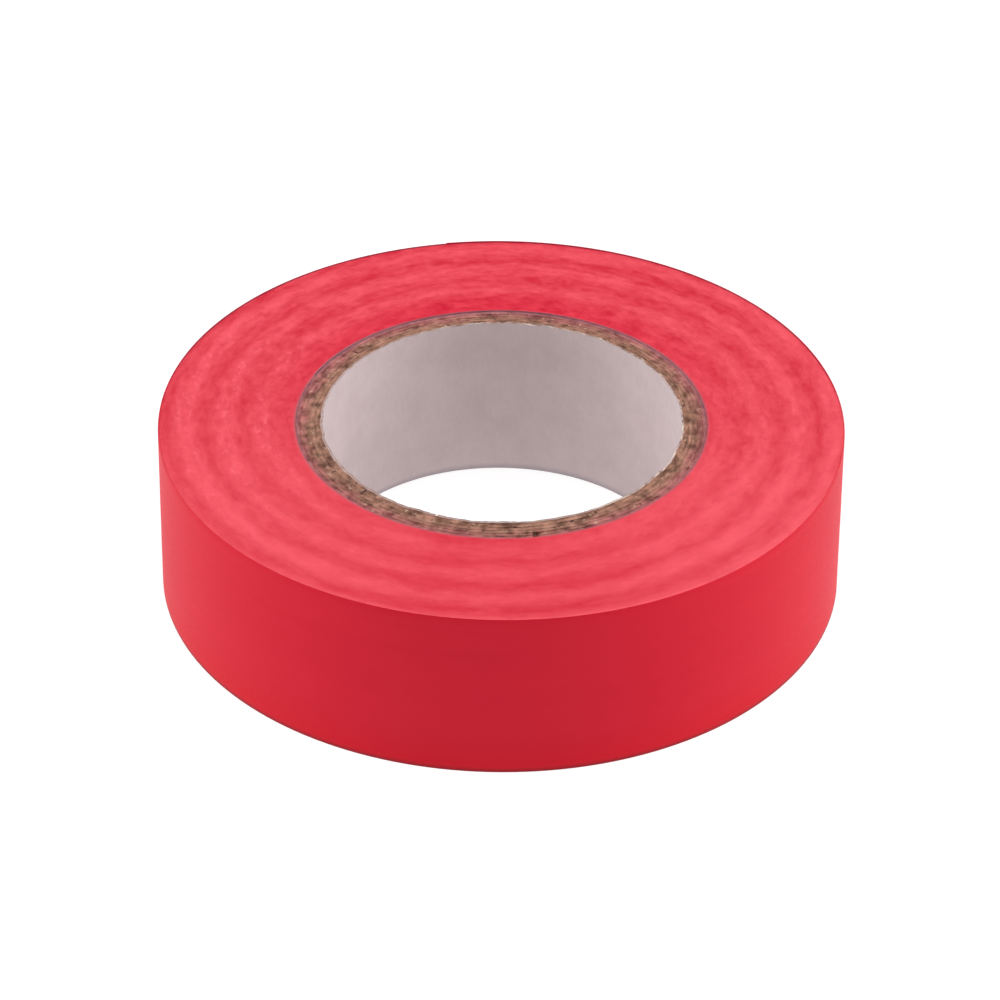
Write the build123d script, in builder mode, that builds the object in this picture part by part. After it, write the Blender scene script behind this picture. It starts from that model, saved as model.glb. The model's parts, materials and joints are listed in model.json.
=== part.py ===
"""Roll of PVC electrical tape on a spiral-wound paperboard core.

The roll lies flat: +Z is the axis of its core, and the origin is on that axis at the lower edge of
the tape. One long strip of tape is wound anticlockwise, seen from above, on a core made of a white
paper liner and several plies of board. Each of those is a strip wound in a helix, whose two edges
meet in a narrow butt seam. The adhesive bonds the turns of tape into one solid, bounded by the first
turn's inner face and the last turn's outer face. The last quarter turn is the tape's free end, which
peels off the roll. It is made as short lengths, each on a hinge line of its own, because film bends.
"""

from build123d import *
from math import cos, floor, pi, radians, sin, sqrt
import os

# ---- driving dimensions, in millimetres and degrees ----

tape_width = 19.0
tape_length = 20000.0
film_thickness = 0.105  # the PVC backing
adhesive_thickness = 0.025  # the rubber coat on the backing's inner face

core_bore_diameter = 38.1
core_recess = 0.15  # how far each end of the core stays inside the tape's edge
liner_thickness = 0.18
ply_thickness = 0.48
ply_count = 5

seam_lead = 90.0  # axial length of one turn of the helix that liner and plies are wound in
seam_gap = 0.2  # between the two edges of a ply
liner_seam_angle = 250.0  # where the liner's seam meets the core's upper end
ply_seam_angle = 224.0  # the same for the innermost ply
ply_seam_step = 138.0  # from each ply's seam to the next ply's

tape_start_angle = 157.0  # where the tape's inner end lies on the core
tail_start_angle = 10.0  # where its last stretch starts to peel
tail_arc = 90.0  # how much of the last turn peels off, all of it within one half turn
tail_pieces = 6
hinge_slit = 0.04  # between two lengths of the tail

# ---- sizes that follow from them ----

turn_pitch = film_thickness + adhesive_thickness
core_length = tape_width - 2 * core_recess
bore_radius = core_bore_diameter / 2
liner_outer_radius = bore_radius + liner_thickness
core_radius = liner_outer_radius + ply_count * ply_thickness

# The wound tape's end area is its length times its pitch, which gives the number of turns.
wound_radius = sqrt(core_radius**2 + tape_length * turn_pitch / pi)
full_turns = floor((wound_radius - core_radius) / turn_pitch)

# The tape has its own plane, turned so that its inner end lies at angle 0. Its spiral is made of
# half turns, the first of them number 0, whose radius grows by half a pitch each time.
tape_plane = Plane.XY.rotated((0, 0, tape_start_angle))
tail_start = (tail_start_angle - tape_start_angle) % 360
tail_step = tail_arc / tail_pieces
last_half_turn = 2 * full_turns + floor(tail_start / 180)


def half_turn_centre(index):
    """Even half turns are centred on the axis, and odd ones half a pitch along the plane's X."""
    return (turn_pitch / 2 * (index % 2), 0)


def film_radius(index, depth):
    """Radius of a half turn, at a depth from the film's inner face towards its outer one."""
    return core_radius + adhesive_thickness + index * turn_pitch / 2 + depth


def film_arc(index, depth, start, end):
    """Arc along a half turn of the spiral, between two angles."""
    CenterArc(half_turn_centre(index), film_radius(index, depth), start, end - start)


def film_point(index, depth, angle):
    """Point on a half turn of the spiral."""
    direction = Vector(cos(radians(angle)), sin(radians(angle)))
    return Vector(half_turn_centre(index)) + direction * film_radius(index, depth)


def write(part, name):
    part.label = name
    export_step(part, f"parts/{name}.step")
    print(f"{name}: {part.volume:.1f} mm3")


os.makedirs("parts", exist_ok=True)


# ---- core: the liner, then the board plies from the inside out ----


def core_tube(inner_radius, thickness, seam_angle):
    """Strip of paper or board wound into a tube, open along its helical butt seam."""
    with BuildPart() as tube:
        with BuildSketch(Plane.XY.offset(core_recess)):
            Circle(inner_radius + thickness)
            Circle(inner_radius, mode=Mode.SUBTRACT)
        extrude(amount=core_length)
        with BuildLine() as seam:
            Helix(pitch=seam_lead, height=tape_width, radius=inner_radius + thickness / 2)
        with BuildSketch(Plane(origin=seam.line @ 0, x_dir=(1, 0, 0), z_dir=seam.line % 0)):
            Rectangle(2 * thickness, seam_gap)
        sweep(is_frenet=True, mode=Mode.SUBTRACT)
    seam_turn = 360 * tape_width / seam_lead
    return tube.part.rotate(Axis.Z, seam_angle - seam_turn)


write(core_tube(bore_radius, liner_thickness, liner_seam_angle), "core_liner")

for ply in range(ply_count):
    ply_inner_radius = liner_outer_radius + ply * ply_thickness
    ply_tube = core_tube(ply_inner_radius, ply_thickness, ply_seam_angle + ply * ply_seam_step)
    write(ply_tube, f"core_ply_{ply + 1}")


# ---- tape: the turns that stay on the roll ----

with BuildPart() as tape_winding:
    with BuildSketch(tape_plane):
        with BuildLine():
            last_start = 180 * (last_half_turn % 2)
            film_arc(last_half_turn - 2, film_thickness, tail_start, last_start + 180)
            film_arc(last_half_turn - 1, film_thickness, last_start - 180, last_start)
            film_arc(last_half_turn, film_thickness, last_start, tail_start)
            Line(
                film_point(last_half_turn - 2, film_thickness, tail_start),
                film_point(last_half_turn, film_thickness, tail_start),
            )
        make_face()
        with BuildLine():
            film_arc(0, 0, 0, 180)
            film_arc(1, 0, 180, 360)
            Line(film_point(0, 0, 0), film_point(2, 0, 0))
        make_face(mode=Mode.SUBTRACT)
    extrude(amount=tape_width)
write(tape_winding.part, "tape_winding")


# ---- tail: the free end of the strip, in lengths that hinge on their outer face ----

tail_radius = film_radius(last_half_turn, film_thickness)
slit_angle = hinge_slit / tail_radius * 180 / pi

for piece in range(tail_pieces):
    piece_start = tail_start + piece * tail_step + slit_angle / 2
    piece_end = piece_start + tail_step - slit_angle
    with BuildPart() as tape_tail:
        with BuildSketch(tape_plane):
            with BuildLine():
                for face_depth in (0, film_thickness):
                    film_arc(last_half_turn, face_depth, piece_start, piece_end)
                for end_angle in (piece_start, piece_end):
                    Line(
                        film_point(last_half_turn, 0, end_angle),
                        film_point(last_half_turn, film_thickness, end_angle),
                    )
            make_face()
        extrude(amount=tape_width)
    write(tape_tail.part, f"tape_tail_{piece + 1}")


# ---- what was built ----

wound_length = tape_winding.part.volume / turn_pitch / tape_width
print(f"roll radius {tail_radius:.3f}, core radius {core_radius:.3f}, half turns {last_half_turn}")
print(f"tape length {(wound_length + radians(tail_arc) * tail_radius) / 1000:.3f} m")
for piece in range(tail_pieces):
    hinge_angle = tail_start + piece * tail_step
    hinge = tape_plane.from_local_coords(film_point(last_half_turn, film_thickness, hinge_angle))
    print(f"tape_tail_{piece + 1} hinge line at x {hinge.X:.4f}, y {hinge.Y:.4f}")
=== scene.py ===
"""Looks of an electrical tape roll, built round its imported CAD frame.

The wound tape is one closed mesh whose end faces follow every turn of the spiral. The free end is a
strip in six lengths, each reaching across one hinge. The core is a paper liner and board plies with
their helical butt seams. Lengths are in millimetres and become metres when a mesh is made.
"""

import json
import math

import bpy
import numpy as np
from mathutils import Matrix, Vector, noise


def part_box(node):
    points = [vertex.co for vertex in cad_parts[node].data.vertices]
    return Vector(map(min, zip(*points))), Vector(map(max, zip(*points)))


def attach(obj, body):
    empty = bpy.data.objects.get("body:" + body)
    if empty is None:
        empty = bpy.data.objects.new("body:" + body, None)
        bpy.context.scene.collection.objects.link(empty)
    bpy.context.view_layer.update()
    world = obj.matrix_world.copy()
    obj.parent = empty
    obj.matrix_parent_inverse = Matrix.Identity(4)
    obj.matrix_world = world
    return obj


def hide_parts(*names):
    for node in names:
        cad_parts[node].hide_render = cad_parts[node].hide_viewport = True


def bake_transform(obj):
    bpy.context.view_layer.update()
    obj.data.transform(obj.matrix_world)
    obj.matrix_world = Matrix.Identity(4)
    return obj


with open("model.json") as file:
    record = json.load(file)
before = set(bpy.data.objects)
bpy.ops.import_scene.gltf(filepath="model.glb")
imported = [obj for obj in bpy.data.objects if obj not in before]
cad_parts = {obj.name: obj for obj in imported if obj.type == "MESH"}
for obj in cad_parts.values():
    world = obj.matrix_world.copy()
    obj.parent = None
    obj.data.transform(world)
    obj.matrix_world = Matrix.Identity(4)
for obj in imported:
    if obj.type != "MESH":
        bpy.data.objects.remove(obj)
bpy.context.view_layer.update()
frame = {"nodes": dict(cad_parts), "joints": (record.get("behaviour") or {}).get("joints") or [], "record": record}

MM = 0.001
TAU = 2 * math.pi

# ---- sizes of the tape and its core, in millimetres, from the frame where it has them ----

film_thickness = 0.105
adhesive_thickness = 0.025
turn_pitch = film_thickness + adhesive_thickness
start_angle = math.radians(157)  # where the tape's inner end lies on the core
tail_start = math.radians(10)  # where the free end starts to peel
tail_arc = math.radians(90)

tape_low, tape_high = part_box("tape_winding")
tape_width = (tape_high.z - tape_low.z) / MM
core_low, core_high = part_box("core_liner")
core_bottom = core_low.z / MM
core_top = core_high.z / MM
ply_names = sorted(n for n in frame["nodes"] if n.startswith("core_ply_"))
tail_names = sorted(n for n in frame["nodes"] if n.startswith("tape_tail_"))


def outer_radius(node):
    """Radius of a ring of the core, from its box."""
    low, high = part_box(node)
    return max(-low.x, -low.y, high.x, high.y) / MM


bore_radius = next(m for m in frame["record"]["mounts"] if m["name"] == "core_bore")["dims"]["r_mm"]
core_radii = [bore_radius] + [outer_radius(n) for n in ["core_liner"] + ply_names]
core_radius = core_radii[-1]

seam_lead = 90.0  # axial length of one turn of the seams' helix
seam_gap = 0.2  # between the two edges of a strip
liner_seam_angle = math.radians(250)
ply_seam_angle = math.radians(224)
ply_seam_step = math.radians(138)


# ---- the spiral, as in the CAD: half circles whose radius grows by half a pitch each time ----

rounding = 1e-9  # keeps a whole number of half turns from being rounded down


def film_inner_radius(turned):
    """Distance of the film's inner face from the axis, after an angle turned from the tape's start."""
    half_turns = np.floor(turned / math.pi + rounding)
    offset = (half_turns % 2) * np.cos(turned)
    return core_radius + adhesive_thickness + turn_pitch / 2 * (half_turns + offset)


peel_angle = (tail_start - start_angle) % TAU
hinge_radius = Vector(frame["joints"][0]["pos_m"]).xy.length / MM
whole_turns = round((hinge_radius - core_radius - film_thickness) / turn_pitch - peel_angle / TAU)
turned_to_peel = whole_turns * TAU + peel_angle


# ---- mesh helpers ----


sharp_angle = math.radians(40)


def make_piece(name, points, faces, materials, face_materials=None):
    """New object from points in millimetres, with smooth shading broken at sharp edges."""
    mesh = bpy.data.meshes.new(name)
    mesh.from_pydata((np.asarray(points) * MM).tolist(), [], faces)
    mesh.validate()
    for material in materials:
        mesh.materials.append(material)
    if face_materials is not None:
        mesh.polygons.foreach_set("material_index", face_materials)
    mesh.shade_smooth()
    mesh.set_sharp_from_angle(angle=sharp_angle)
    mesh.update()
    piece = bpy.data.objects.new(name, mesh)
    bpy.context.scene.collection.objects.link(piece)
    return piece


def keep_rest(piece, vectors):
    """Stores a vector for each point, which the materials read in place of its position."""
    attribute = piece.data.attributes.new("rest", "FLOAT_VECTOR", "POINT")
    attribute.data.foreach_set("vector", np.asarray(vectors, np.float32).ravel())


def rough(x, y, z, octaves=3):
    """Fractal noise, about -1 to 1."""
    return noise.fractal(Vector((x, y, z)), 0.8, 2.0, octaves)


# ---- relief of the tape ----

band_pitch = 4.1  # radial distance between the marks that slitting the roll left on its ends
band_radius = 31.2
band_height = 0.035
band_growth = (core_radius + 0.87, core_radius + 11.37)  # radii between which the bands grow
rounded_width = 0.40  # how far in from the outside the last turns curve down
rounded_depth = 0.10
core_dip = 0.05  # how far the first turns lie below the rest
core_dip_width = 0.5
wide_swell = 0.010  # unevenness of the roll's outside
fine_swell = 0.003


def end_depth(radius, angle, margin):
    """How far the cut end of the tape lies inside its full width, in millimetres."""
    phase = (radius - band_radius) / band_pitch + angle / TAU
    band = 0.5 - 0.5 * np.cos(TAU * phase)
    gain = np.interp(radius, band_growth, [0.35, 1.25])
    inward = np.clip((hinge_radius - radius) / rounded_width, 0, 1)
    rounded = rounded_depth * (1 - inward) ** 2
    beside_core = core_dip * np.exp((core_radius - radius) / core_dip_width)
    return band_height * gain * band + rounded + beside_core + margin


def side_swell(angle, height):
    """How far the outside of the roll stands out or in, from the turns beneath it."""
    x, y = 6 * math.cos(angle), 6 * math.sin(angle)
    wide = rough(x * 0.12, y * 0.12, height * 0.22, 2)
    fine = rough(x * 0.9, y * 0.9, height * 0.5 + 40, 2)
    return wide_swell * wide + fine_swell * fine


# ---- the wound tape ----

steps_to_peel = 107
steps_after_peel = 73
steps = steps_to_peel + steps_after_peel  # of the mesh, in each turn
groove_depth = 0.012  # between one turn and the next
edge_margin = 0.012  # how far the turns' edges lie inside the tape's width, besides the bands
edge_wander = 0.0036  # how much that varies
edge_wander_steps = 37  # from one random draw to the next
edge_seed = 7

rim_radius = 0.07
rim_inset = 0.02  # of the rounded rim's middle row, both ways
wall_rows = 17  # between the two rims
wall_margin = 0.9
wall_heights = [0.0, rim_inset, rim_radius]
wall_heights += list(np.linspace(wall_margin, tape_width - wall_margin, wall_rows))
wall_heights += [tape_width - rim_radius, tape_width - rim_inset, tape_width]
wall_insets = [rim_radius, rim_inset, 0.0] + [0.0] * wall_rows + [0.0, rim_inset, rim_radius]


def step_angles():
    """Angles turned at each step of one turn, with the peel line among them."""
    before = np.linspace(0, peel_angle, steps_to_peel, endpoint=False)
    after = np.linspace(peel_angle, TAU, steps_after_peel, endpoint=False)
    return np.concatenate([before, after])


def wound_tape(end_material, side_material):
    """The turns that stay on the roll, as one closed mesh with a ridge and a groove for each turn."""
    last = whole_turns * steps + steps_to_peel
    index = np.arange(last + 1)
    turned = index // steps * TAU + step_angles()[index % steps]
    angle = turned + start_angle
    inner = film_inner_radius(turned)
    knots = last // edge_wander_steps + 2
    drawn = np.random.default_rng(edge_seed).normal(edge_margin, edge_wander, knots)
    margin = np.interp(index / edge_wander_steps, np.arange(knots), drawn)

    points, faces, kinds, rest = [], [], [], []

    def add(radius, at, height):
        """Adds a row of points at some of the steps, and gives their numbers."""
        x, y = radius * np.cos(angle[at]), radius * np.sin(angle[at])
        first = len(points)
        points.extend(np.stack([x, y, np.broadcast_to(height, x.shape)], 1).tolist())
        arc = (turned[at] - turned_to_peel) * hinge_radius
        rest.extend(np.stack([arc, np.broadcast_to(height, x.shape), radius], 1).tolist())
        return np.arange(first, len(points))

    def quad(a, b, c, d, kind, flip):
        faces.append((d, c, b, a) if flip else (a, b, c, d))
        kinds.append(kind)

    film_middle = inner + film_thickness / 2
    groove = inner + film_thickness + adhesive_thickness / 2
    turn_before_last = last - steps
    loops = []
    for top in (False, True):
        def height(radius, at, extra):
            depth = np.maximum(end_depth(radius, angle[at], margin[at]) + extra, 0)
            return tape_width - depth if top else depth

        first_turn = index[:steps]
        last_turn = index[turn_before_last + 1:]
        ridge = add(film_middle, index, height(film_middle, index, 0.0))
        channel_at = index[:turn_before_last + 1]
        channel = add(groove[channel_at], channel_at, height(groove[channel_at], channel_at, groove_depth))
        inside = add(inner[first_turn], first_turn, height(inner[first_turn], first_turn, 0.0))
        outside_radius = inner[last_turn] + film_thickness - rim_radius * 0.5
        outside = add(outside_radius, last_turn, np.full(len(last_turn), tape_width if top else 0.0))
        inside = list(inside) + [channel[0]]
        outside = [channel[turn_before_last]] + list(outside)
        for k in range(steps):
            quad(inside[k], inside[k + 1], ridge[k + 1], ridge[k], 0, top)
        for k in range(turn_before_last):
            quad(ridge[k], ridge[k + 1], channel[k + 1], channel[k], 0, top)
            quad(channel[k], channel[k + 1], ridge[k + steps + 1], ridge[k + steps], 0, top)
        for k in range(steps):
            a, b = turn_before_last + k, turn_before_last + k + 1
            quad(ridge[a], ridge[b], outside[k + 1], outside[k], 0, top)
        loops.append((inside + [ridge[0]], outside + [ridge[last]]))

    # the wall inside, against the core
    low, high = loops[0][0], loops[1][0]
    for k in range(len(low)):
        n = (k + 1) % len(low)
        quad(low[k], low[n], high[n], high[k], 1, True)

    # the wall outside: rows between the two end faces
    wall_at = index[turn_before_last:]
    rows = [loops[0][1][:-1]]
    swell_row = np.zeros(len(wall_at))
    for z, inset in zip(wall_heights[1:-1], wall_insets[1:-1]):
        for i, k in enumerate(wall_at):
            swell_row[i] = side_swell(angle[k], z)
        radius = inner[wall_at] + film_thickness + swell_row - inset
        rows.append(list(add(radius, wall_at, np.full(len(wall_at), z))))
    rows.append(loops[1][1][:-1])
    for below, above in zip(rows, rows[1:]):
        for k in range(steps):
            quad(below[k], below[k + 1], above[k + 1], above[k], 1, False)
    # the step at the peel line, where the free end goes on
    corner_low, corner_high = loops[0][1][-1], loops[1][1][-1]
    step_face = [row[-1] for row in rows] + [corner_high] + [row[0] for row in rows[::-1]] + [corner_low]
    faces.append(tuple(step_face[::-1]))
    kinds.append(1)

    piece = make_piece("tape_roll", points, faces, [end_material, side_material], kinds)
    keep_rest(piece, rest)
    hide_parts("tape_winding")
    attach(piece, "roll")


# ---- the free end of the tape: lengths that meet halfway between the hinges ----

tail_column = math.radians(0.5)
adhesive_share = 0.8  # how much of the adhesive's thickness comes off with the film
adhesive_rows = 7
adhesive_margin = 0.01  # from the film's edges
end_lift = 0.04  # how far the cut end has sprung off the roll
end_lift_length = 1.6
end_waviness = 0.05


def tail_section():
    """Depth from the film's inner face and height of each point round the strip's cross-section."""
    inside = -adhesive_share * adhesive_thickness
    outer = [(film_thickness - inset, z) for z, inset in zip(wall_heights, wall_insets)]
    levels = np.linspace(tape_width - adhesive_margin, adhesive_margin, adhesive_rows)
    inner = [(inside, z) for z in levels]
    return outer + inner


def tail_piece(name, node, first, last, material, cut=False):
    """One length of the free end, between two angles from the peel line."""
    count = round((last - first) / tail_column) + 1
    section = tail_section()
    points, rest, faces = [], [], []
    for column in np.linspace(first, last, count):
        end_distance = (tail_arc - column) * hinge_radius
        near_end = max(0.0, 1 - end_distance / end_lift_length)
        for depth, z in section:
            swell = side_swell(column + tail_start, z)
            shift = 0.0
            if cut:
                shift = end_waviness * rough(z * 0.7, 3.1, 8.7) * near_end / hinge_radius
            turned = turned_to_peel + column + shift
            radius = film_inner_radius(turned) + depth + swell + end_lift * near_end**2
            angle = turned + start_angle
            points.append((radius * math.cos(angle), radius * math.sin(angle), z))
            rest.append(((column + shift) * hinge_radius, z, radius))
    size = len(section)
    for i in range(count - 1):
        for k in range(size):
            a, b = i * size + k, i * size + (k + 1) % size
            faces.append((a, a + size, b + size, b))
    faces.append(tuple(range(size)))
    faces.append(tuple(reversed(range((count - 1) * size, count * size))))
    piece = make_piece(name, points, faces, [material])
    keep_rest(piece, rest)
    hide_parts(node)
    return piece


def free_end(material):
    """The free end's pieces, one in place of each rigid length of the CAD, each reaching across one hinge."""
    step = tail_arc / len(tail_names)
    for k, node in enumerate(tail_names):
        first = 0.0 if k == 0 else (k - 0.5) * step
        blended = (k + 0.5) * step
        last = tail_arc if node == tail_names[-1] else blended
        piece = tail_piece(f"tape_end_{k + 1}", node, first, last, material, node == tail_names[-1])
        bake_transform(piece)


# ---- the core ----

core_columns = 680
plain_rows = 19  # below the burr, close enough to follow the round of the wall along the seam's helix
burr_rows = (1.7, 1.1, 0.65, 0.3, 0.0)  # depths below the core's upper end
wall_levels = list(np.linspace(core_bottom, core_top - burr_rows[0], plain_rows))
wall_levels += [core_top - depth for depth in burr_rows[1:]]
edge_shares = (0.9, 0.62, 0.36, 0.1)  # places of the cut ends' points, as shares of the thickness
ply_clearance = 0.004  # from a wall to the middle of the joint with the next ply
liner_fray = 0.06  # how deep the fibres of a cut end go
board_fray = 0.11

burr_height = 0.30  # how far the slitting knife raised the bore's edge
burr_width = 1.5
burr_lean = 0.24  # how far it pushed the edge into the bore
burr_reach = 1.1  # how far down the bore that shows
lean_angle = math.radians(188)  # where the edge leans in the most
ragged_angle = math.radians(70)  # where it is the most ragged
torn_angle = math.radians(32)  # where its paper is torn

nick_angle = math.radians(281)  # a small tear in the two outer plies
nick_width = math.radians(1.1)
nick_depth = 0.5


def burr(radius, angle, z):
    """Place of a core point, moved by the ragged burr at the upper edge of the bore."""
    x, y = radius * math.cos(angle), radius * math.sin(angle)
    near_bore = max(0.0, 1 - (radius - bore_radius) / burr_width) ** 2
    near_top = max(0.0, 1 - (core_top - z) / burr_reach) ** 2
    back = 0.5 + 0.5 * math.cos(angle - ragged_angle)
    ragged = (0.3 + 0.7 * back) * rough(x * 0.9, y * 0.9, 5.0, 4)
    ragged += 0.8 * back * rough(x * 2.3, y * 2.3, 9.0, 3)
    torn = max(0.0, math.cos(angle - torn_angle)) ** 2
    ragged += 2.6 * torn * rough(x * 1.9, y * 1.9, 33.0, 3)
    side = 0.5 + 0.5 * math.cos(angle - lean_angle)
    lean = burr_lean * (0.15 + side**3)
    lean += 0.16 * max(-0.5, rough(x * 0.55, y * 0.55, 21.0, 4))
    raised = burr_height * (0.85 + 0.35 * ragged)
    return radius - lean * near_bore * near_top, z + raised * near_bore * near_top


def core_tube(name, node, inner, outer, seam_angle, fray, material):
    """A paper or board strip wound into a tube, with its helical butt seam and fibrous cut ends."""
    middle = (inner + outer) / 2
    thickness = outer - inner
    gap = seam_gap / middle
    seed = inner * 3.7

    def frayed(along, offset):
        """How far the fibres at a cut end fall short of it, at one angle."""
        x, y = middle * math.cos(along), middle * math.sin(along)
        return fray * (0.5 + 0.5 * rough(x * 1.9, y * 1.9, seed + offset, 4))

    def section(along):
        """Radius and height of each point round the tube wall at one angle."""
        top = core_top
        if outer in core_radii[-2:]:
            off_nick = math.remainder(along - nick_angle, TAU) / nick_width
            top -= nick_depth * math.exp(-off_nick * off_nick)
        loop = [(outer - ply_clearance, min(z, top)) for z in wall_levels]
        for share in edge_shares:
            loop.append((inner + share * thickness, top - frayed(along, share * 3)))
        loop += [(inner + ply_clearance, min(z, top)) for z in wall_levels[::-1]]
        for share in edge_shares[::-1]:
            loop.append((inner + share * thickness, core_bottom + frayed(along, -share * 3)))
        return loop

    points, faces = [], []
    for column in np.linspace(gap / 2, TAU - gap / 2, core_columns):
        for radius, z in section(column + seam_angle):
            angle = column + seam_angle - (core_top - z) / seam_lead * TAU
            radius, z = burr(radius, angle, z)
            points.append((radius * math.cos(angle), radius * math.sin(angle), z))
    size = len(points) // core_columns
    for i in range(core_columns - 1):
        for k in range(size):
            a, b = i * size + k, i * size + (k + 1) % size
            faces.append((a, a + size, b + size, b))
    faces.append(tuple(range(size)))
    faces.append(tuple(reversed(range((core_columns - 1) * size, core_columns * size))))
    piece = make_piece(name, points, faces, [material])
    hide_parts(node)
    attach(piece, "roll")


def core(board_material, paper_material):
    """The liner and the plies, from the inside out."""
    core_tube("paper_liner", "core_liner", core_radii[0], core_radii[1], liner_seam_angle,
              liner_fray, paper_material)
    for k, node in enumerate(ply_names):
        seam = ply_seam_angle + k * ply_seam_step
        core_tube(f"board_ply_{k + 1}", node, core_radii[k + 1], core_radii[k + 2], seam,
                  board_fray, board_material)


# ---- materials ----


class Graph:
    """A material's nodes, with short calls for the ones used here."""

    def __init__(self, name):
        self.material = bpy.data.materials.new(name)
        self.material.use_nodes = True
        self.tree = self.material.node_tree
        self.shader = self.tree.nodes["Principled BSDF"]

    def node(self, kind, inputs=None, **settings):
        made = self.tree.nodes.new(kind)
        for key, value in settings.items():
            setattr(made, key, value)
        for key, value in (inputs or {}).items():
            if isinstance(value, bpy.types.NodeSocket):
                self.tree.links.new(value, made.inputs[key])
            else:
                made.inputs[key].default_value = value
        return made

    def math(self, operation, a, b=0.0):
        return self.node("ShaderNodeMath", {0: a, 1: b}, operation=operation).outputs[0]

    def noise(self, vector, scale, detail=2.0, roughness=0.5):
        inputs = {"Vector": vector, "Scale": scale, "Detail": detail, "Roughness": roughness}
        return self.node("ShaderNodeTexNoise", inputs).outputs["Fac"]

    def spread(self, value, low, high, to_low=0.0, to_high=1.0):
        """A range of values, low to high, spread over another and clamped to it."""
        inputs = {"Value": value, "From Min": low, "From Max": high,
                  "To Min": to_low, "To Max": to_high}
        return self.node("ShaderNodeMapRange", inputs).outputs[0]

    def swing(self, vector, scale, detail=2.0, roughness=0.5):
        """Noise that is spread over -1 to 1 and clamped to it."""
        return self.spread(self.noise(vector, scale, detail, roughness), 0.3, 0.7, -1, 1)

    def mix(self, share, a, b):
        """Colour between two, or a colour laid over another by its share."""
        made = self.tree.nodes.new("ShaderNodeMix")
        made.data_type = "RGBA"
        for key, value in {"Factor": share, "A": a, "B": b}.items():
            socket = next(s for s in made.inputs if s.name == key and s.enabled)
            if isinstance(value, bpy.types.NodeSocket):
                self.tree.links.new(value, socket)
            else:
                socket.default_value = value
        return next(s for s in made.outputs if s.enabled)

    def stretched(self, vector, scale):
        return self.node("ShaderNodeMapping", {"Vector": vector, "Scale": scale}).outputs[0]

    def place(self):
        """Position in millimetres, at rest."""
        coordinates = self.node("ShaderNodeTexCoord").outputs["Object"]
        return self.stretched(coordinates, (1000, 1000, 1000))

    def rest(self):
        """Arc length, height and radius on the tape, in millimetres."""
        made = self.node("ShaderNodeAttribute", attribute_name="rest", attribute_type="GEOMETRY")
        return made.outputs["Vector"]

    def polar(self, vector):
        """Angle and radius of a position, and its height."""
        parts = self.node("ShaderNodeSeparateXYZ", {"Vector": vector}).outputs
        angle = self.math("ARCTAN2", parts["Y"], parts["X"])
        square = self.math("ADD", self.math("MULTIPLY", parts["X"], parts["X"]),
                           self.math("MULTIPLY", parts["Y"], parts["Y"]))
        return angle, self.math("SQRT", square), parts["Z"]

    def along_turns(self, angle, radius, around, across):
        """Coordinates for noise that is drawn out along the turns."""
        return self.node("ShaderNodeCombineXYZ", {
            "X": self.math("MULTIPLY", self.math("COSINE", angle), around),
            "Y": self.math("MULTIPLY", self.math("SINE", angle), around),
            "Z": self.math("MULTIPLY", radius, across),
        }).outputs[0]

    def ring_tangent(self):
        """Tangent round the roll's axis, along the turns."""
        return self.node("ShaderNodeTangent", direction_type="RADIAL", axis="Z").outputs[0]

    def bump(self, height, strength, distance):
        inputs = {"Height": height, "Strength": strength, "Distance": distance}
        return self.node("ShaderNodeBump", inputs).outputs["Normal"]

    def finish(self, **inputs):
        for key, value in inputs.items():
            socket = self.shader.inputs[key.replace("_", " ")]
            if isinstance(value, bpy.types.NodeSocket):
                self.tree.links.new(value, socket)
            else:
                socket.default_value = value
        return self.material


def colour(red, green, blue):
    return (red, green, blue, 1.0)


# where the materials change, as radii, heights and arc lengths in millimetres

band_wander = 0.22  # how far a band strays from its own radius
first_turns = (core_radius - 0.03, core_radius + 4.17)  # a deeper red, which fades outward
dusty_turns = (core_radius + 0.02, core_radius + 0.37)
shaded_rim_turns = (hinge_radius - 0.35, hinge_radius - 0.09)
inner_wall_dust_and_light = (core_radius + 0.27, core_radius + 0.17)  # radii of the dusty mauve, painted pale to lift the shade on the tape's inner wall, from the outside in
side_foot_shade = 4.5  # height of the painted shade, a deeper red, at the foot of the outside
# heights of the painted contact shadow along the outside's lowest edge
foot_contact_shadow = (0.10, 0.60)
pale_cut = (tail_arc * hinge_radius - 0.5, tail_arc * hinge_radius)  # the last of the free end
# heights of the painted shade on the free end's top edge
shaded_free_top_edge = (tape_width - 0.15, tape_width - 0.02)
free_after_peel = 12.0  # arc over which the painted shade on the free end's top edge grows dark
mauve_board = (core_radius - 1.63, core_radius - 0.33)
outermost_board = (core_radius - 0.33, core_radius - 0.08)
paper_foot = (0.25, 0.90)
bore_depth_shade = (3.0, 11.0)
paper_cut_edge = (core_top + 0.10, core_top + 0.24)


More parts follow.
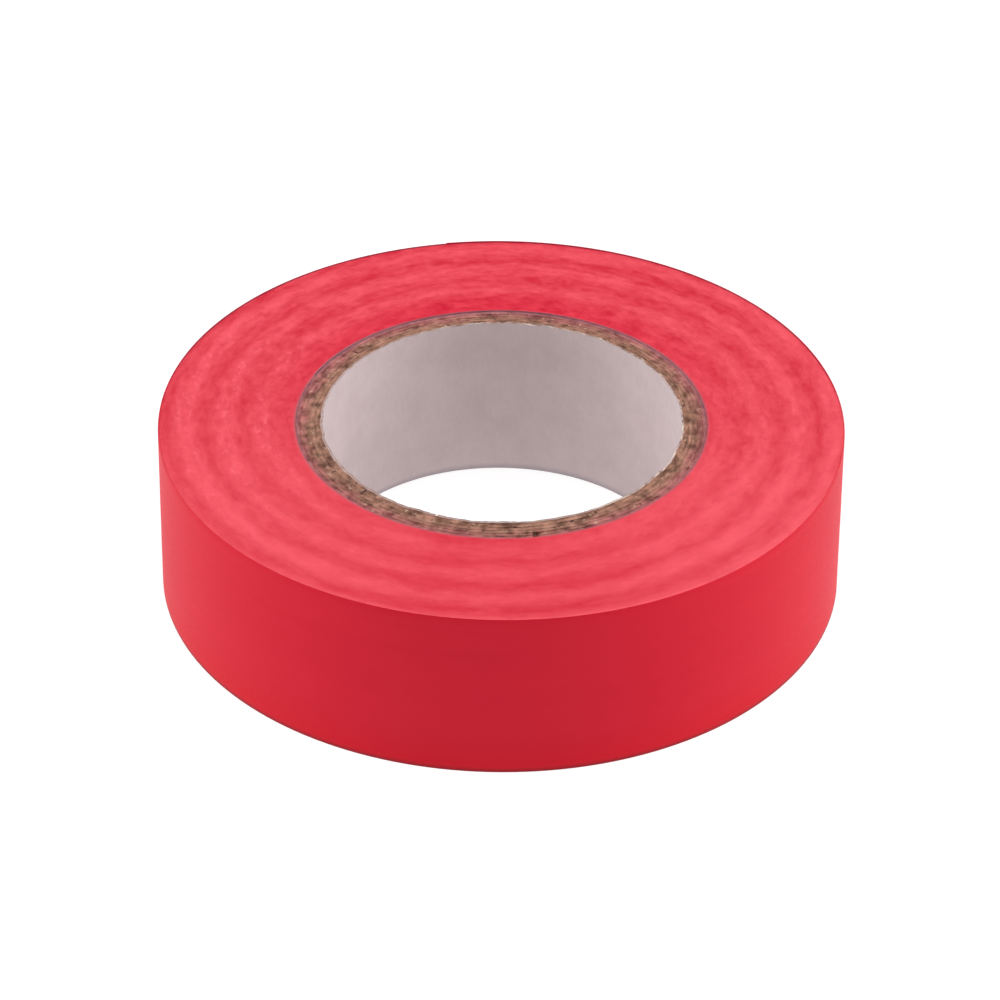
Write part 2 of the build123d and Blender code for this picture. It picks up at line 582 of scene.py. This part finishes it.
def tape_end_material():
    """The slit end of the tape: hazy, with bands, smears along the turns, a few bright specks and a painted
    highlight on two sides.
    """
    g = Graph("tape_end_faces")
    place = g.place()
    angle, radius, _ = g.polar(place)
    cosine = g.math("COSINE", angle)
    sine = g.math("SINE", angle)
    bent = g.math("ADD", radius, g.math("MULTIPLY", g.swing(place, 0.24), band_wander))
    turn_share = g.math("DIVIDE", angle, TAU)
    outward = g.math("DIVIDE", g.math("SUBTRACT", bent, band_radius), band_pitch)
    slit = g.math("ADD", outward, turn_share)
    band = g.math("COSINE", g.math("MULTIPLY", slit, TAU))
    smear = g.swing(g.along_turns(angle, bent, 11, 1.15), 1.0, 5.0, 0.62)
    crumbs = g.swing(place, 1.15, 3.0, 0.6)
    cloud = g.swing(place, 0.12)
    band_gain = g.spread(radius, *band_growth, 0.32, 0.78)
    worn_gain = g.spread(sine, -1, 1, 0.55, 1.25)
    marks = g.math("ADD", g.math("MULTIPLY", smear, 0.95), g.math("MULTIPLY", crumbs, 0.42))
    tone = g.math("ADD", g.math("MULTIPLY", band, band_gain), g.math("MULTIPLY", marks, worn_gain))
    tone = g.math("ADD", tone, g.math("MULTIPLY", cloud, 0.35))
    # painted highlight: a paler haze on two sides at the front, standing in for the side lights' glint along the
    # turns
    painted_highlight = g.math("MULTIPLY", g.math("MULTIPLY", cosine, cosine), g.spread(sine, 0.0, -0.8))
    tone = g.math("ADD", tone, g.math("MULTIPLY", painted_highlight, 1.25))
    base = g.mix(g.spread(tone, -1.6, 1.6), colour(0.62, 0.020, 0.041), colour(0.845, 0.088, 0.119))
    # specks of lifted film on the ridges, most of them on one side
    specks = g.spread(g.noise(g.stretched(place, (1.0, 0.6, 1.0)), 1.1, 3.0, 0.6), 0.55, 0.72)
    specks = g.math("MULTIPLY", specks, g.spread(band, -0.3, 0.8))
    specks = g.math("MULTIPLY", specks, g.spread(cosine, -0.70, -0.95, 0.15, 0.85))
    base = g.mix(specks, base, colour(0.91, 0.135, 0.175))
    # the first turns are the deepest red, most of all at the back, and dusty against the board
    near_core = g.math("MULTIPLY", g.spread(radius, *first_turns, 1.0, 0.0),
                       g.spread(sine, -0.4, 0.9, 0.0, 0.95))
    deep = g.mix(g.spread(marks, -0.9, 0.9), colour(0.57, 0.004, 0.030), colour(0.75, 0.030, 0.060))
    base = g.mix(near_core, base, deep)
    dust = g.spread(radius, *dusty_turns, 0.65, 0.0)
    base = g.mix(dust, base, colour(0.42, 0.115, 0.135))
    # painted shade: the outermost turns are darker at the back, where their rounded rim turns away from the light
    rim = g.math("MULTIPLY", g.spread(radius, *shaded_rim_turns), g.spread(sine, 0.0, 0.5, 0.0, 0.55))
    base = g.mix(rim, base, colour(0.22, 0.030, 0.065))
    return g.finish(Base_Color=base, Roughness=g.spread(marks, -1, 1, 0.38, 0.52),
                    Specular_IOR_Level=0.35, Anisotropic=0.5, Tangent=g.ring_tangent(),
                    Normal=g.bump(marks, 0.3, 0.00006))


def tape_side_material():
    """The outside of the PVC film: calendered, satin, a little uneven, and with painted shade at its foot."""
    g = Graph("tape_outside")
    rest = g.rest()
    parts = g.node("ShaderNodeSeparateXYZ", {"Vector": rest}).outputs
    arc, height, radius = parts["X"], parts["Y"], parts["Z"]
    tension = g.swing(g.stretched(rest, (0.02, 0.5, 0.0)), 1.0)
    patches = g.swing(g.stretched(rest, (0.06, 0.09, 0.0)), 1.0)
    grain = g.noise(g.stretched(rest, (2.2, 3.4, 0.0)), 1.0, 3.0, 0.6)
    tone = g.math("ADD", g.math("MULTIPLY", tension, 0.5), g.math("MULTIPLY", patches, 0.5))
    base = g.mix(g.spread(tone, -1, 1), colour(0.605, 0.0030, 0.021), colour(0.645, 0.0052, 0.025))
    # painted shade: a deeper red towards the foot, and a painted contact shadow along the lowest edge
    base = g.mix(g.spread(height, 0.0, side_foot_shade, 0.75, 0.0), base, colour(0.64, 0.0005, 0.012))
    base = g.mix(g.spread(height, *foot_contact_shadow, 0.75, 0.0), base, colour(0.22, 0.004, 0.012))
    base = g.mix(g.spread(arc, *pale_cut, 0.0, 0.5), base, colour(0.85, 0.20, 0.22))
    # painted shade along the free end's top edge, away from the peel line
    free_edge_shade = g.math("MULTIPLY", g.spread(arc, 0.0, free_after_peel),
                      g.spread(height, *shaded_free_top_edge, 0.0, 0.4))
    base = g.mix(free_edge_shade, base, colour(0.27, 0.030, 0.062))
    # dusty mauve on the tape's inner wall against the core, painted pale to lift its shade
    base = g.mix(g.spread(radius, *inner_wall_dust_and_light), base, colour(0.60, 0.26, 0.31))
    return g.finish(Base_Color=base, Roughness=g.spread(grain, 0.3, 0.7, 0.48, 0.58),
                    Specular_IOR_Level=0.16, Normal=g.bump(grain, 0.12, 0.00002))


def board_material():
    """Cut edge of recycled board: olive near the bore and mauve farther out, with glue between plies."""
    g = Graph("core_board")
    place = g.place()
    angle, radius, _ = g.polar(place)
    fibres = g.noise(g.along_turns(angle, radius, 20, 2.6), 0.8)
    clumps = g.noise(place, 0.75)
    flecks = g.noise(place, 1.7, 1.0, 0.4)
    tone = g.math("ADD", g.math("MULTIPLY", fibres, 0.45), g.math("MULTIPLY", clumps, 0.55))
    tone = g.spread(tone, 0.37, 0.63)
    base = g.mix(tone, colour(0.135, 0.062, 0.040), colour(0.46, 0.235, 0.165))
    mauve = g.mix(tone, colour(0.20, 0.045, 0.050), colour(0.50, 0.165, 0.165))
    shade = g.math("ADD", radius, g.spread(g.noise(place, 0.5), 0.3, 0.7, -0.5, 0.5))
    base = g.mix(g.spread(shade, *mauve_board, 0.0, 0.85), base, mauve)
    base = g.mix(g.spread(flecks, 0.66, 0.80), base, colour(0.56, 0.36, 0.27))
    base = g.mix(g.spread(flecks, 0.33, 0.24), base, colour(0.09, 0.040, 0.035))
    depth = g.math("DIVIDE", g.math("SUBTRACT", radius, core_radii[1]), core_radii[2] - core_radii[1])
    from_glue = g.math("ABSOLUTE", g.math("SUBTRACT", g.math("FRACT", g.math("ADD", depth, 0.5)), 0.5))
    patchy = g.spread(g.noise(place, 0.45), 0.50, 0.64, 0.0, 0.5)
    glue = g.math("MULTIPLY", g.spread(from_glue, 0.0, 0.2, 1.0, 0.0), patchy)
    base = g.mix(glue, base, colour(0.055, 0.024, 0.022))
    base = g.mix(g.spread(radius, *outermost_board, 0.0, 0.6), base, colour(0.33, 0.135, 0.170))
    return g.finish(Base_Color=base, Roughness=0.92, Specular_IOR_Level=0.25,
                    Normal=g.bump(tone, 0.45, 0.00010))


def paper_material():
    """White liner paper: mottled, faintly fibrous, darker at its foot, with painted shade lower down the bore and
    a torn cream upper edge.
    """
    g = Graph("liner_paper")
    place = g.place()
    angle, _, height = g.polar(place)
    mottle = g.noise(place, 0.35, 3.0, 0.55)
    fibres = g.noise(g.stretched(place, (1.0, 1.0, 0.35)), 3.2, 4.0, 0.6)
    tone = g.math("ADD", g.math("MULTIPLY", mottle, 0.6), g.math("MULTIPLY", fibres, 0.4))
    base = g.mix(g.spread(tone, 0.38, 0.62), colour(0.590, 0.488, 0.495), colour(0.640, 0.536, 0.542))
    # painted shade: the liner grows darker lower down the bore
    base = g.mix(g.spread(height, *bore_depth_shade, 0.07, 0.0), base, colour(0.05, 0.04, 0.06))
    # darker towards the liner's foot
    base = g.mix(g.spread(height, *paper_foot, 0.5, 0.0), base, colour(0.24, 0.22, 0.25))
    torn = g.spread(g.math("COSINE", g.math("SUBTRACT", angle, torn_angle)), -0.4, 0.5, 0.15, 1.0)
    worn = g.math("MULTIPLY", g.spread(g.noise(place, 0.6, 3.0, 0.6), 0.42, 0.6), torn)
    cut = g.mix(worn, colour(0.33, 0.18, 0.135), colour(0.76, 0.62, 0.52))
    base = g.mix(g.spread(height, *paper_cut_edge), base, cut)
    return g.finish(Base_Color=base, Roughness=0.78, Specular_IOR_Level=0.35,
                    Normal=g.bump(fibres, 0.25, 0.00004))


end_faces, outside = tape_end_material(), tape_side_material()
wound_tape(end_faces, outside)
free_end(outside)
core(board_material(), paper_material())


# ---- floor, light and camera ----


def floor_material():
    """Grey ground with a strong glow, which makes it white and keeps shadows off it."""
    g = Graph("studio_floor")
    mottle = g.noise(g.node("ShaderNodeTexCoord").outputs["Object"], 3.0)
    base = g.mix(mottle, colour(0.24, 0.24, 0.24), colour(0.26, 0.26, 0.26))
    return g.finish(Base_Color=base, Roughness=0.9, Emission_Color=colour(1, 1, 1), Emission_Strength=0.85)


def studio_floor():
    half = 3000.0  # of its width, in millimetres
    corners = [(-half, -half, 0), (half, -half, 0), (half, half, 0), (-half, half, 0)]
    floor = make_piece("studio_floor", corners, [(0, 1, 2, 3)], [floor_material()])


def soft_light(name, place, aim, width, height, watts):
    """A large rectangular area light, in metres and watts."""
    data = bpy.data.lights.new(name, "AREA")
    data.shape = "RECTANGLE"
    data.size, data.size_y, data.energy = width, height, watts
    light = bpy.data.objects.new(name, data)
    light.location = place
    light.rotation_mode = "QUATERNION"
    light.rotation_quaternion = (Vector(aim) - Vector(place)).to_track_quat("-Z", "Y")
    bpy.context.scene.collection.objects.link(light)


def studio():
    """World, lights and view transform."""
    world = bpy.data.worlds.new("studio")
    world.use_nodes = True
    background = world.node_tree.nodes["Background"]
    background.inputs["Color"].default_value = colour(1, 1, 1)
    direction = world.node_tree.nodes.new("ShaderNodeTexCoord").outputs["Generated"]
    parts = world.node_tree.nodes.new("ShaderNodeSeparateXYZ")
    world.node_tree.links.new(direction, parts.inputs[0])
    # a pale band along the horizon, as of a studio cove, and next to nothing above it
    cove = world.node_tree.nodes.new("ShaderNodeMapRange")
    for key, value in (("From Min", 0.055), ("From Max", 0.095), ("To Min", 0.80), ("To Max", 0.013)):
        cove.inputs[key].default_value = value
    world.node_tree.links.new(parts.outputs["Z"], cove.inputs["Value"])
    world.node_tree.links.new(cove.outputs[0], background.inputs["Strength"])
    bpy.context.scene.world = world
    middle = (0, 0, 0.01)
    soft_light("light_left", (-0.75, 0.0, 0.35), middle, 0.8, 0.7, 5.3)
    soft_light("light_right", (0.75, 0.0, 0.35), middle, 0.8, 0.7, 5.95)
    soft_light("light_above", (0, 0.10, 0.95), middle, 1.0, 1.0, 7.15)
    soft_light("light_front", (0, -0.80, 0.50), middle, 1.0, 0.6, 0.4)
    bpy.context.scene.view_settings.view_transform = "Standard"


camera_lens = 185.3
camera_distance = 546.7  # millimetres from the point that it looks at
camera_elevation = math.radians(34.298)
camera_roll = math.radians(0.526)
camera_target = (-0.065, 0.0, 8.849)


def add_camera():
    data = bpy.data.cameras.new("camera")
    data.lens = camera_lens
    data.sensor_width = 36.0
    data.clip_start, data.clip_end = 0.02, 20.0
    back = Vector((0, -math.cos(camera_elevation), math.sin(camera_elevation)))
    place = Vector(camera_target) * MM + back * (camera_distance * MM)
    turn = Matrix.Rotation(math.pi / 2 - camera_elevation, 4, "X") @ Matrix.Rotation(camera_roll, 4, "Z")
    camera = bpy.data.objects.new("camera", data)
    camera.matrix_world = Matrix.Translation(place) @ turn
    bpy.context.scene.collection.objects.link(camera)
    bpy.context.scene.camera = camera


studio_floor()
studio()
add_camera()
